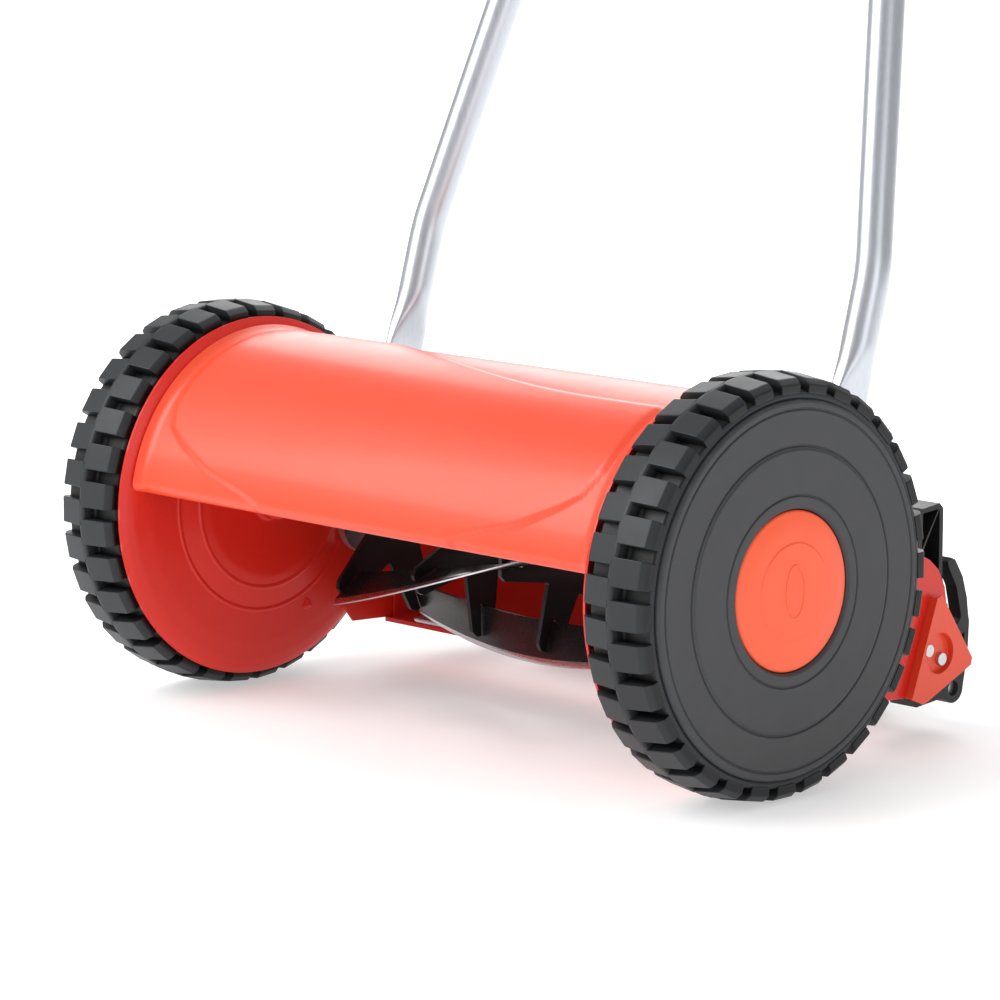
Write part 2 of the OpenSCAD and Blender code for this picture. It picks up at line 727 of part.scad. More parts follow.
module roller_clips() {
    color(steel) for (side = [-1, 1]) on_side(side)
        open_clip(roller_rod_d / 2 - clip_groove + fit, roller_rod_d / 2 + 2.5,
            bracket_x - clip_t - 0.55, clip_t - 0.1, roller_y, roller_z);
}

// Hollow moulded roller with ring ribs and a bearing wall at each end
module roller() {
    half = roller_len / 2;
    wall = 3;
    color(black) across() translate([roller_y, roller_z, 0]) rotate_extrude($fn = 96) polygon([
        [roller_rod_d / 2 + fit, -half], [roller_r - 1.5, -half], [roller_r, -half + 1.5],
        [roller_r, -2], [roller_r - 1.5, -1.5], [roller_r - 1.5, 1.5], [roller_r, 2],
        [roller_r, half - 1.5], [roller_r - 1.5, half], [roller_rod_d / 2 + fit, half],
        [roller_rod_d / 2 + fit, half - 8], [roller_rod_d / 2 + 3, half - 8],
        [roller_rod_d / 2 + 3, half - 3], [roller_r - wall, half - 3],
        [roller_r - wall, -half + 3], [roller_rod_d / 2 + 3, -half + 3],
        [roller_rod_d / 2 + 3, -half + 8], [roller_rod_d / 2 + fit, -half + 8]]);
}

// ---- handle ----

// Stands the handle on its pivot, leaning back
module on_handle() {
    translate([0, pivot_y, pivot_z]) rotate([-handle_lean, 0, 0]) children();
}

module handle_pivot_bolts() {
    color(steel) for (side = [-1, 1]) on_side(side) {
        bar_x(bolt_r, foot_x - foot_t / 2 - 8, pan_mid_x + 5, pivot_y, pivot_z, 64);
        bar_x(7, pan_mid_x + 3.7, pan_mid_x + 8, pivot_y, pivot_z, 6);
        bar_x(6.5, foot_x - foot_t / 2 - 6.5, foot_x - foot_t / 2 - 0.3, pivot_y, pivot_z, 6);
    }
}

// One tube of radius r in the X-Z plane, mitred where it leans in and straightens up again
module lower_path(r, z0, z1) {
    slope = (second_bend_z - bend_z) / cos(bend_angle);
    over = 12;
    difference() {
        translate([foot_x, 0, z0]) cylinder(r = r, h = bend_z + over - z0, $fn = 64);
        mitre(foot_x, bend_z, 1);
    }
    difference() {
        translate([foot_x, 0, bend_z]) rotate([0, -bend_angle, 0]) translate([0, 0, -over])
            cylinder(r = r, h = slope + 2 * over, $fn = 64);
        mitre(foot_x, bend_z, -1);
        mitre(fold_x, second_bend_z, 1);
    }
    difference() {
        translate([fold_x, 0, second_bend_z - over])
            cylinder(r = r, h = z1 - second_bend_z + over, $fn = 64);
        mitre(fold_x, second_bend_z, -1);
    }
}

// Block above (way 1) or below (way -1) the slanted plane that halves a bend
module mitre(x, z, way) {
    size = 60;
    translate([x, 0, z]) rotate([0, -bend_angle / 2, 0])
        translate([-size / 2, -size / 2, way > 0 ? 0 : -size]) cube(size);
}

module lower_tube() {
    neck = 26;
    color(silver) on_handle() difference() {
        union() {
            translate([foot_x - foot_t / 2, 0, 0]) rotate([0, 90, 0])
                cylinder(r = foot_w / 2, h = foot_t, $fn = 64);
            translate([foot_x - foot_t / 2, -foot_w / 2, 0]) cube([foot_t, foot_w, foot_top - neck]);
            hull() {
                translate([foot_x - foot_t / 2 + 0.1, -foot_w / 2 + 0.1, foot_top - neck - 1])
                    cube([foot_t - 0.2, foot_w - 0.2, 1]);
                translate([foot_x, 0, foot_top]) cylinder(r = tube_r - 0.2, h = 1, $fn = 32);
            }
            lower_path(tube_r, foot_top - 1, lower_end);
        }
        lower_path(tube_r - tube_wall, foot_top + 3, lower_end + 1);
        translate([foot_x - foot_t, 0, 0]) rotate([0, 90, 0])
            cylinder(r = bolt_r + fit, h = foot_t * 2, $fn = 64);
        translate([fold_x - tube_d, 0, fold_z]) rotate([0, 90, 0])
            cylinder(r = fold_bolt_r + fit, h = tube_d * 2, $fn = 64);
    }
}

module tube_end_plugs() {
    color(black) on_handle() for (side = [-1, 1]) on_side(side) {
        translate([fold_x, 0, lower_end + fit]) cylinder(r = tube_r, h = 3, $fn = 64);
        translate([fold_x, 0, lower_end - 8]) cylinder(r = tube_r - tube_wall - fit, h = 10, $fn = 64);
    }
}

module upper_path(r) {
    z0 = fold_z - 24;
    z1 = handle_top - corner_r;
    for (side = [-1, 1]) on_side(side) {
        translate([upper_x, 0, z0]) cylinder(r = r, h = z1 - z0, $fn = 64);
        translate([upper_x - corner_r, 0, z1]) rotate([90, 0, 0])
            rotate_extrude(angle = 90, $fn = 192) translate([corner_r, 0]) circle(r = r, $fn = 64);
    }
    translate([-upper_x + corner_r, 0, handle_top]) rotate([0, 90, 0])
        cylinder(r = r, h = 2 * (upper_x - corner_r), $fn = 64);
}

module upper_handle() {
    color(silver) on_handle() difference() {
        upper_path(tube_r);
        difference() {
            upper_path(tube_r - tube_wall);
            for (side = [-1, 1]) on_side(side)
                translate([upper_x - tube_r, -tube_r, fold_z - 25]) cube([tube_d, tube_d, 2]);
        }
        for (side = [-1, 1]) on_side(side)
            translate([upper_x - tube_d, 0, fold_z]) rotate([0, 90, 0])
                cylinder(r = fold_bolt_r + fit, h = tube_d * 2, $fn = 64);
    }
}

module handle_grip() {
    half = upper_x - corner_r - 1;
    color(black) on_handle() translate([-half, 0, handle_top]) rotate([0, 90, 0]) difference() {
        cylinder(r = grip_r, h = 2 * half, $fn = 96);
        translate([0, 0, -1]) cylinder(r = tube_r + fit, h = 2 * half + 2, $fn = 96);
    }
}

// Plastic saddles between the lower and upper tubes
module saddle_washers() {
    color(black) on_handle() for (side = [-1, 1]) on_side(side)
        translate([upper_x + tube_r + 0.1, 0, fold_z]) rotate([0, 90, 0]) difference() {
            translate([0, 0, -2.5]) cylinder(r = 8, h = 4.2, $fn = 64);
            translate([0, 0, -4]) cylinder(r = fold_bolt_r + fit, h = 9, $fn = 64);
            translate([9, 0, -tube_r - 0.1]) rotate([0, -90, 0])
                cylinder(r = tube_r + 0.1, h = 18, $fn = 64);
        }
}

module fold_bolts() {
    color(steel) on_handle() for (side = [-1, 1]) on_side(side)
        translate([0, 0, fold_z]) rotate([0, 90, 0]) {
            translate([0, 0, upper_x - tube_r - 3])
                cylinder(r = fold_bolt_r, h = knob_x + 8 - upper_x + tube_r + 3, $fn = 64);
            translate([0, 0, upper_x - tube_r - 3]) cylinder(r = 5.5, h = 2.6, $fn = 64);
        }
}

// Hand knob with five grip scallops
module wing_knob() {
    color(black) on_handle() translate([knob_x, 0, fold_z]) rotate([0, 90, 0]) difference() {
        union() {
            cylinder(r = 8, h = 5, $fn = 64);
            translate([0, 0, 4]) cylinder(r = knob_r, h = 11, $fn = 64);
        }
        translate([0, 0, -1]) cylinder(r = fold_bolt_r + fit, h = 11, $fn = 64);
        for (a = [0 : 72 : 359]) rotate([0, 0, a])
            translate([knob_r + 3, 0, 3]) cylinder(r = 7, h = 14, $fn = 48);
    }
}

// ---- the pieces ----

on_axle() on_side(1) tyre();  // right_tyre
on_axle() on_side(-1) tyre();  // left_tyre
on_axle() on_side(1) wheel();  // right_wheel
on_axle() on_side(-1) wheel();  // left_wheel
on_axle() on_side(1) hub_cap();  // right_hub_cap
on_axle() on_side(-1) hub_cap();  // left_hub_cap
on_axle() on_side(1) wheel_bush();  // right_wheel_bush
on_axle() on_side(-1) wheel_bush();  // left_wheel_bush
on_axle() axle_rod();
on_axle() axle_washers();
on_axle() axle_clips();
on_axle() on_side(1) side_plate();  // right_side_plate
on_axle() on_side(-1) side_plate();  // left_side_plate
on_axle() cross_tube();
on_axle() deck();
on_axle() on_side(1) pinion();  // right_pinion
on_axle() on_side(-1) pinion();  // left_pinion
on_axle() on_side(1) drive_key();  // right_drive_key
on_axle() on_side(-1) drive_key();  // left_drive_key
on_axle() pinion_clips();
on_axle() on_side(1) reel_bearing();  // right_reel_bearing
on_axle() on_side(-1) reel_bearing();  // left_reel_bearing
on_axle() reel_shaft();
on_axle() reel_disc(0);  // reel_disc_1
on_axle() reel_disc(1);  // reel_disc_2
on_axle() reel_disc(2);  // reel_disc_3
on_axle() reel_disc(3);  // reel_disc_4
on_axle() reel_disc(4);  // reel_disc_5
on_axle() reel_blade(0);  // reel_blade_1
on_axle() reel_blade(1);  // reel_blade_2
on_axle() reel_blade(2);  // reel_blade_3
on_axle() reel_blade(3);  // reel_blade_4
on_axle() reel_blade(4);  // reel_blade_5
on_axle() reel_rivets();
on_axle() bedknife();
on_axle() bedknife_carrier();
on_axle() bedknife_screws();
on_axle() carrier_screws();
on_axle() on_side(1) corner_bracket();  // right_corner_bracket
on_axle() on_side(-1) corner_bracket();  // left_corner_bracket
on_axle() on_side(1) height_bracket();  // right_height_bracket
on_axle() on_side(-1) height_bracket();  // left_height_bracket
on_axle() height_screws();
on_axle() roller_rod();
on_axle() roller();
on_axle() roller_clips();
on_axle() handle_pivot_bolts();
on_axle() on_side(1) lower_tube();  // right_lower_tube
on_axle() on_side(-1) lower_tube();  // left_lower_tube
on_axle() tube_end_plugs();
on_axle() upper_handle();
on_axle() handle_grip();
on_axle() saddle_washers();
on_axle() fold_bolts();
on_axle() on_side(1) wing_knob();  // right_wing_knob
on_axle() on_side(-1) wing_knob();  // left_wing_knob
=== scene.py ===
# %% [markdown]
# # A push reel mower, finished in Blender
# The mower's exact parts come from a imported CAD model. They are loaded as a fixed frame: every
# part keeps its place and its name. This lesson gives each surface its finish, and remakes the
# parts that need a softer or a finer shape: tyres, wheels, caps, the pressed deck and the tubes.

# %% Load the fixed frame
import json
import math
from math import cos, pi, radians, sin

import bmesh
import bpy
from mathutils import Matrix, Vector

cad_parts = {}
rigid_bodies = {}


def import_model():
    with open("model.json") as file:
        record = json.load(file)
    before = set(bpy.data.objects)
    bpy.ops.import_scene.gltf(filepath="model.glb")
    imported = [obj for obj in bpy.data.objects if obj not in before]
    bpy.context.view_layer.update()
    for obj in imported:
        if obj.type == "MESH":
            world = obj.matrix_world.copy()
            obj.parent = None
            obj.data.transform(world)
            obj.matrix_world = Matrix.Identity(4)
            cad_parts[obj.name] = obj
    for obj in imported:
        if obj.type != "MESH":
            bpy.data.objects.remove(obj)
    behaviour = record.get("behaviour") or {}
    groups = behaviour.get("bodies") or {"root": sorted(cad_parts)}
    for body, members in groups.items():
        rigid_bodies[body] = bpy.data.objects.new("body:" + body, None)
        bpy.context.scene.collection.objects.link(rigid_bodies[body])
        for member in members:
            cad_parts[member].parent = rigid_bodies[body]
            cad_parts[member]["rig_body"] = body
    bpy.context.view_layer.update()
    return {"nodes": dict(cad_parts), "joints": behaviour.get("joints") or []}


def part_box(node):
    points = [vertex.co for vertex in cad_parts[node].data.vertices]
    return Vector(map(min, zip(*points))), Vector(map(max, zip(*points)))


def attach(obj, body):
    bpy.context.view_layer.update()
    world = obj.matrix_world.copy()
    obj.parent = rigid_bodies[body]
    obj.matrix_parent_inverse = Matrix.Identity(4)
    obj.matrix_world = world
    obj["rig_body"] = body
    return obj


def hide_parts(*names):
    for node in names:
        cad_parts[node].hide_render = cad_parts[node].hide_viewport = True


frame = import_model()
MM = 0.001  # outlines are written in millimetres, and meshes are in metres

# %% [markdown]
# ## Places that everything is measured from
# A made piece goes where the frame says, so the script asks for the boxes of the parts that
# carry others: the axle, the reel's shaft and the bolts that the handle swings on.

# %% Read the main places
def middle(node):
    low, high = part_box(node)
    return (low + high) / 2


axle = middle("axle_rod")
reel = middle("reel_shaft")
joints = {joint["name"]: joint for joint in frame["joints"]}
tyre_low, tyre_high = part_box("right_tyre")
wheel_r = (tyre_high.z - tyre_low.z) / 2
CROWN, LUG_DEPTH = 2.1, 6.2  # the tread's drop to its shoulder, and the gaps below that
print("axle at", axle, "wheel radius", round(wheel_r, 4))

# %% [markdown]
# ## The camera
# A long lens from a few metres away keeps the two wheels nearly the same size, as in a
# catalogue picture. It is placed from the axle, and it looks along one direction, unrolled.

# %% Place the camera
camera_data = bpy.data.cameras.new("long_lens")
camera = bpy.data.objects.new("long_lens", camera_data)
bpy.context.scene.collection.objects.link(camera)
camera_data.lens = 158
camera_data.sensor_width = 36
STAND = Vector((1.6409, -1.5899, 0.4095))  # from the axle, in metres
TURN, DIP = 0.7962, 0.1694  # radians, to the left of +Y and below the level
camera.location = axle + STAND
aim = Vector((-sin(TURN) * cos(DIP), cos(TURN) * cos(DIP), -sin(DIP)))
camera.rotation_euler = aim.to_track_quat("-Z", "Y").to_euler()
bpy.context.scene.camera = camera
bpy.context.scene.view_settings.view_transform = "Standard"
print("camera", tuple(round(v, 3) for v in camera.location))

# %% [markdown]
# ## A small language for finishes
# A finish is a tree of shader nodes. Wiring sums by hand hides what they mean, so a Signal wraps
# one socket and lets Python's own signs add the Math nodes. Any other node comes from Finish.add,
# which sets the node's own settings first and then its sockets.

# %% Signals and finishes
class Signal:
    """One value that changes over a surface."""

    def __init__(self, finish, socket):
        self.finish = finish
        self.socket = socket

    def maths(self, operation, first, second=0.0):
        inputs = {0: first, 1: second}
        return self.finish.add("ShaderNodeMath", {"operation": operation}, inputs)

    def __add__(self, other):
        return self.maths("ADD", self, other)

    def __radd__(self, other):
        return self.maths("ADD", other, self)

    def __sub__(self, other):
        return self.maths("SUBTRACT", self, other)

    def __rsub__(self, other):
        return self.maths("SUBTRACT", other, self)

    def __mul__(self, other):
        return self.maths("MULTIPLY", self, other)

    def __rmul__(self, other):
        return self.maths("MULTIPLY", other, self)

    def step(self, start, end):
        """0 below start and 1 above end, with a smooth change between them."""
        settings = {"interpolation_type": "SMOOTHSTEP"}
        inputs = {"Value": self, "From Min": start, "From Max": end}
        return self.finish.add("ShaderNodeMapRange", settings, inputs)


class Finish:
    """One material, built round a single Principled shader."""

    def __init__(self, name, **constants):
        self.material = bpy.data.materials.new(name)
        self.material.use_nodes = True
        self.tree = self.material.node_tree
        self.shader = self.tree.nodes["Principled BSDF"]
        self.place = self.add("ShaderNodeTexCoord", {}, {}, "Object")
        for socket, value in constants.items():
            self.shader.inputs[socket.replace("_", " ")].default_value = value

    def add(self, kind, settings, inputs, output=0):
        node = self.tree.nodes.new(kind)
        for name, value in settings.items():
            setattr(node, name, value)
        for name, value in inputs.items():
            self.feed(node.inputs[name], value)
        return Signal(self, node.outputs[output])

    def feed(self, socket, value):
        if isinstance(value, Signal):
            self.tree.links.new(value.socket, socket)
        else:
            socket.default_value = value

    def noise(self, per_metre, detail=2.0, stretch=None):
        """Soft blotches or grain, with so many to the metre."""
        place = self.place
        if stretch:
            place = self.add("ShaderNodeMapping", {}, {"Vector": place, "Scale": stretch})
        inputs = {"Vector": place, "Scale": per_metre, "Detail": detail}
        return self.add("ShaderNodeTexNoise", {}, inputs)

    def blend(self, share, low, high):
        settings = {"data_type": "RGBA"}
        inputs = {"Factor": share, 6: low, 7: high}
        return self.add("ShaderNodeMix", settings, inputs, 2)

    def colour(self, value):
        self.feed(self.shader.inputs["Base Color"], value)

    def roughness(self, value):
        self.feed(self.shader.inputs["Roughness"], value)

    def bump(self, height, depth):
        """Lets a value push the surface out by up to depth, in metres."""
        inputs = {"Height": height, "Distance": depth, "Strength": 1.0}
        normal = self.add("ShaderNodeBump", {}, inputs)
        self.feed(self.shader.inputs["Normal"], normal)


def shade(red, green, blue):
    return (red, green, blue, 1.0)


# %% [markdown]
# ## Red: powder coat on sheet steel, and moulded plastic
# Powder coat flows into a skin with a faint orange peel about two millimetres across. A slow
# drift in tone keeps a wide panel from looking printed. The two coats are lit and shaded copies
# of one red: the deck's is painted lighter and more orange, as painted light, and the one on the
# side plates, bedknife carrier and cross tube is painted deeper, as painted shade. The caps are
# moulded, so their skin is smoother and a little less glossy.

# %% Make the red finishes
def powder_coat(name, low, high):
    finish = Finish(name, Coat_Roughness=0.12, IOR=1.41)
    drift = finish.noise(9, 3)
    finish.colour(finish.blend(drift, shade(*low), shade(*high)))
    finish.roughness(0.30 + 0.10 * finish.noise(60, 3))
    finish.feed(finish.shader.inputs["Coat Weight"], 0.08 + 0.08 * drift)
    finish.bump(finish.noise(520, 1.5), 0.00005)
    return finish


# One red in two copies: this deeper one is painted shade, and the deck's lighter, more orange one is
# painted light.
red_paint = powder_coat("red_powder_coat_painted_shade", (.64, .017, .008), (.71, .023, .011))
lit_deck_paint = powder_coat("deck_powder_coat_painted_lit", (.78, .068, .025), (.84, .078, .030))

red_plastic = Finish("red_moulding", IOR=1.46)
tone = red_plastic.noise(25, 3)
red_plastic.colour(red_plastic.blend(tone, shade(0.93, 0.106, 0.034), shade(0.97, 0.120, 0.041)))
red_plastic.roughness(0.34 + 0.08 * tone)
red_plastic.bump(red_plastic.noise(1600, 2), 0.00003)
print("red finishes made")

# %% [markdown]
# ## Greys and blacks: wheels, tyres, brackets and painted steel
# Moulded wheels have a fine satin grain. Tyres are a little darker, with a dusty bloom that
# dulls them in patches, and painted shade, nearly black, on the floors of the gaps between their
# blocks. Black brackets and painted blades are nearly neutral.

# %% Make the dark finishes
def moulded(name, low, high, rough, grain, depth):
    finish = Finish(name, IOR=1.42)
    cloud = finish.noise(18, 4)
    finish.colour(finish.blend(cloud, shade(*low), shade(*high)))
    finish.roughness(rough + 0.12 * finish.noise(90, 3))
    finish.bump(finish.noise(grain, 2), depth)
    return finish


grey_plastic = moulded("grey_moulding", (.044, .045, .048), (.052, .053, .056), .46, 1900, .00004)
black_plastic = moulded("black_moulding", (.009, .009, .010), (.014, .014, .015), .42, 1700, .00005)
black_paint = moulded("black_paint", (.007, .007, .008), (.012, .012, .013), .30, 700, .00004)
foam = moulded("closed_cell_foam", (.012, .012, .012), (.020, .020, .020), .85, 900, .00025)


def distance_from(finish, centre):
    """Distance of a point of the surface from a line along X through centre, in metres."""
    parts = finish.add("ShaderNodeSeparateXYZ", {}, {"Vector": finish.place}, "Y")
    y = parts - centre.y
    z = Signal(finish, parts.socket.node.outputs["Z"]) - centre.z
    squared = y * y + z * z
    return squared.maths("SQRT", squared)


RUBBER_LOW, RUBBER_HIGH = (.013, .015, .017), (.020, .022, .025)
tyre_rubber = moulded("tyre_rubber", RUBBER_LOW, RUBBER_HIGH, .40, 1300, .00006)
from_axle = distance_from(tyre_rubber, axle)
# The floors of the gaps between the blocks are painted nearly black: painted shade in the recesses.
gap_r = wheel_r - (CROWN + LUG_DEPTH) * MM
above_floor = from_axle.step(gap_r - .0012, gap_r - .0006)
below_tops = 1 - from_axle.step(gap_r + .0016, gap_r + .0052)
rubber = tyre_rubber.blend(tyre_rubber.noise(18, 4), shade(*RUBBER_LOW), shade(*RUBBER_HIGH))
gap_painted_shade = above_floor * below_tops
tyre_rubber.colour(tyre_rubber.blend(gap_painted_shade, rubber, shade(.002, .002, .0025)))
print("dark finishes made")

# %% [markdown]
# ## Bare metals: zinc plate, silver lacquer and ground edges
# Zinc plate is cloudy at the scale of a fingertip. The handle's tubes have drawing lines along
# them under a silver lacquer. The blades are painted black and then ground, so only a narrow
# band at the full radius of the reel is bright: the finish finds it by its distance from the
# reel's axis, which stays true while the reel turns.

# %% Make the metals
zinc_steel = Finish("zinc_plate", Metallic=1.0)
cloud = zinc_steel.noise(160, 4)
zinc_steel.colour(zinc_steel.blend(cloud, shade(.50, .51, .52), shade(.68, .69, .70)))
zinc_steel.roughness(0.26 + 0.22 * cloud)
zinc_steel.bump(zinc_steel.noise(2200, 2), 0.00002)

handle_silver = Finish("silver_lacquer", Metallic=1.0, Coat_Roughness=0.15)
lines = handle_silver.noise(700, 2, stretch=(1.0, 1.0, 0.03))
handle_silver.colour(handle_silver.blend(lines, shade(.50, .52, .56), shade(.60, .62, .67)))
handle_silver.roughness(0.30 + 0.10 * lines)
handle_silver.feed(handle_silver.shader.inputs["Coat Weight"], 0.2 + 0.1 * lines)
handle_silver.bump(lines, 0.00002)


PAINT_BLACK = (0.009, 0.009, 0.010)
REEL_R = 60 * MM


def ground_edge(name, start, end, outwards):
    """Black paint with a ground steel band, outside or inside a distance from the reel's axis."""
    finish = Finish(name)
    band = distance_from(finish, reel).step(start, end)
    if not outwards:
        band = 1 - band
    marks = finish.noise(2600, 2, stretch=(0.08, 1.0, 1.0))
    steel = finish.blend(marks, shade(.52, .53, .55), shade(.74, .75, .77))
    finish.colour(finish.blend(band, shade(*PAINT_BLACK), steel))
    finish.feed(finish.shader.inputs["Metallic"], band)
    finish.roughness(0.22 + 0.14 * marks)
    finish.bump(marks, 0.00002)
    return finish


blade_steel = ground_edge("ground_blade", REEL_R - .0036, REEL_R - .0031, True)
knife_steel = ground_edge("ground_bedknife", REEL_R + .004, REEL_R + .005, False)
print("metals made")

# %% [markdown]
# ## Four ways to make a shape
# Round parts are turned: an outline of (radius, place along X) pairs is spun round an axis.
# Long parts are drawn: one ring of points is extruded from station to station. Flat parts are
# pushed out of one face. Pressed or moulded parts that are right already are copied from the
# frame, further down. Edges are rounded, because a sharp edge never catches the light. Left
# parts are the right ones mirrored.

# %% Tools of the workshop
WELD = 1e-6


def softened(points, radius, parts=4):
    """The open outline with every corner between its two ends rounded."""
    made = [Vector(points[0])]
    for before, corner, after in zip(points, points[1:], points[2:]):
        before, corner, after = Vector(before), Vector(corner), Vector(after)
        reach = min(radius, (before - corner).length * 0.45, (after - corner).length * 0.45)
        start = corner + (before - corner).normalized() * reach
        end = corner + (after - corner).normalized() * reach
        for i in range(parts + 1):
            t = i / parts
            made.append(start * (1 - t) ** 2 + corner * 2 * t * (1 - t) + end * t ** 2)
    made.append(Vector(points[-1]))
    return made


def turned(bm, outline, steps=128, centre=axle, closed=False):
    """Spins the outline, in millimetres, round a line through centre along X."""
    verts = [bm.verts.new((x * MM, centre.y, centre.z + r * MM)) for r, x in outline]
    pairs = list(zip(verts, verts[1:])) + ([(verts[-1], verts[0])] if closed else [])
    edges = [bm.edges.new(pair) for pair in pairs]
    bmesh.ops.spin(bm, geom=verts + edges, cent=centre, axis=(1, 0, 0), dvec=(0, 0, 0),
                   angle=2 * pi, steps=steps, use_merge=True, use_duplicate=False)
    bmesh.ops.remove_doubles(bm, verts=bm.verts, dist=WELD)


def verts_of(geometry):
    return [g for g in geometry if isinstance(g, bmesh.types.BMVert)]


def pushed(bm, points, vec=(0, 0, 0)):
    """Makes a face from its points, extrudes it along vec, and gives the verts of its copy."""
    verts = [bm.verts.new(p) for p in points]
    face = bmesh.ops.contextual_create(bm, geom=verts)["faces"][0]
    grown = bmesh.ops.extrude_face_region(bm, geom=[face], use_keep_orig=True)["geom"]
    far = verts_of(grown)
    bmesh.ops.translate(bm, verts=far, vec=vec)
    return far


def repeated(bm, count):
    """Repeats all that is in bm, evenly round the axle."""
    bmesh.ops.spin(bm, geom=bm.verts[:] + bm.edges[:] + bm.faces[:], cent=axle, axis=(1, 0, 0),
                   dvec=(0, 0, 0), angle=2 * pi * (count - 1) / count, steps=count - 1,
                   use_duplicate=True)


def eased_edges(bm, edges, offset, segments=2):
    """Rounds edges by an offset in millimetres."""
    bmesh.ops.bevel(bm, geom=edges, offset=offset * MM, offset_type="OFFSET", segments=segments,
                    profile=0.5, affect="EDGES", clamp_overlap=True, material=-1)


def joined(bm, extra):
    """Moves all of extra into bm."""
    mesh = bpy.data.meshes.new("extra")
    extra.to_mesh(mesh)
    extra.free()
    bm.from_mesh(mesh)
    bpy.data.meshes.remove(mesh)


def drawn(bm, stations):
    """Extrudes one closed ring through stations, each a list of points, and caps both ends."""
    verts = [bm.verts.new(p) for p in stations[0]]
    ring = [bm.edges.new((a, b)) for a, b in zip(verts, verts[1:] + verts[:1])]
    bmesh.ops.contextual_create(bm, geom=ring)
    for points in stations[1:]:
        made = bmesh.ops.extrude_edge_only(bm, edges=ring)["geom"]
        follower = {}
        for v in verts_of(made):
            for e in v.link_edges:
                other = e.other_vert(v)
                if other in verts:
                    follower[other] = v
        verts = [follower[v] for v in verts]
        for v, p in zip(verts, points):
            v.co = p
        ring = [bm.edges.get((a, b)) for a, b in zip(verts, verts[1:] + verts[:1])]
    bmesh.ops.contextual_create(bm, geom=ring)


def placed(mesh, name, finish, body, replaces):
    """Makes a piece of the mower from a mesh, which rides on a body."""
    mesh.materials.clear()
    mesh.materials.append(finish.material)
    piece = bpy.data.objects.new(name, mesh)
    bpy.context.scene.collection.objects.link(piece)
    even = piece.modifiers.new("even_light", "WEIGHTED_NORMAL")
    even.keep_sharp = True
    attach(piece, body)
    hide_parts(*replaces)
    return piece


def finished(bm, name, finish, body, replaces, side=1, sharp=35):
    """Turns a bmesh into a smooth piece, mirrored to the left where side is -1."""
    if side < 0:
        bm.transform(Matrix.Diagonal((-1, 1, 1, 1)))
    bmesh.ops.recalc_face_normals(bm, faces=bm.faces)
    mesh = bpy.data.meshes.new(name)
    bm.to_mesh(mesh)
    bm.free()
    mesh.shade_smooth()
    mesh.set_sharp_from_angle(angle=radians(sharp))
    return placed(mesh, name, finish, body, replaces)


SIDES = (("right", 1), ("left", -1))
print("tools ready")

# %% [markdown]
# ## Tyres
# A tyre is a turned carcass with two rows of blocks, one row half a pitch behind the other. A
# low rib joins them at the middle, and its sloping foot rounds the end of each gap. One block
# is extruded from its side outline, its edges are rounded, and a spin with copies repeats it.

# %% Turn the carcass and stand the blocks on it
tread_mid = (tyre_low.x + tyre_high.x) / 2 / MM
tyre_in, tyre_out = tyre_low.x / MM, tyre_high.x / MM
BLOCKS = 32
HALF_SHARE = 0.345  # half of a block, as a share of the pitch
shoulder = wheel_r / MM - CROWN
gap_floor = shoulder - LUG_DEPTH
rim_seat = shoulder - 10.6


def tread_block(bm, way, turn):
    """One block of a row; way is +1 for the outer row and -1 for the inner one."""
    edge = tyre_out if way > 0 else tyre_in
    outline = [(gap_floor - 1.5, tread_mid + way * .5), (wheel_r / MM - .05, tread_mid + way * .5),
               (shoulder, edge - way * 3.2), (shoulder - 3.1, edge), (gap_floor - 1.4, edge - way * .1)]
    half = HALF_SHARE * 2 * pi / BLOCKS
    far = pushed(bm, [(x * MM, axle.y, axle.z + r * MM) for r, x in outline])
    bmesh.ops.rotate(bm, verts=far, cent=axle, matrix=Matrix.Rotation(2 * half, 3, "X"))
    bmesh.ops.rotate(bm, verts=bm.verts, cent=axle, matrix=Matrix.Rotation(turn - half, 3, "X"))
    eased_edges(bm, bm.edges[:], 0.65)


def make_tyre(side_name, side):
    bm = bmesh.new()
    for way, turn in ((1, 0), (-1, pi / BLOCKS)):
        row = bmesh.new()
        tread_block(row, way, turn)
        repeated(row, BLOCKS)
        joined(bm, row)
    rib_top = wheel_r / MM - .4
    carcass = [(rim_seat, tyre_in + 1), (gap_floor - 3, tyre_in + .3), (gap_floor - .8, tyre_in + .8),
               (gap_floor, tyre_in + 2), (gap_floor, tread_mid - 3.1), (rib_top, tread_mid - 1.9),
               (rib_top, tread_mid + 1.9), (gap_floor, tread_mid + 3.1), (gap_floor, tyre_out - 2),
               (gap_floor - .8, tyre_out - .8), (gap_floor - 3, tyre_out - .3), (rim_seat, tyre_out - 1)]
    body = bmesh.new()
    turned(body, softened(carcass, 1.4, 3), steps=160, closed=True)
    joined(bm, body)
    name = side_name + "_tyre"
    return finished(bm, name + "_tread", tyre_rubber, side_name + "_wheel", [name], side)


for side_name, side in SIDES:
    tyre = make_tyre(side_name, side)
print("tyre faces:", len(tyre.data.polygons))

# %% [markdown]
# ## Wheels
# The wheel is one moulding: a face with fine turned grooves, a rim that the tyre grips, a hub,
# and a ring of inner teeth that drive the reel's pinion. The teeth are one tapered block, spun
# with copies, and they start half a tooth from the pinion so that the two mesh.

# %% Mould the wheels
cap_low, cap_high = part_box("right_hub_cap")
face_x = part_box("right_wheel")[1].x / MM
flat_x = face_x - .9
cap_r = (cap_high.z - cap_low.z) / 2 / MM
RIM_WALL = 4.7
TEETH = 86
TOOTH_OVERHANG = 1 * MM
pinion_low, pinion_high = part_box("right_pinion")
pinion = middle("right_pinion")
mesh_turn = math.atan2(pinion.z - axle.z, pinion.y - axle.y)


def groove(radius, x, width=.7, depth=.9):
    """A turned groove in a face at x, listed from its outer edge to its inner one."""
    return [(radius + width, x), (radius + width * .4, x - depth), (radius - width * .4, x - depth),
            (radius - width, x)]


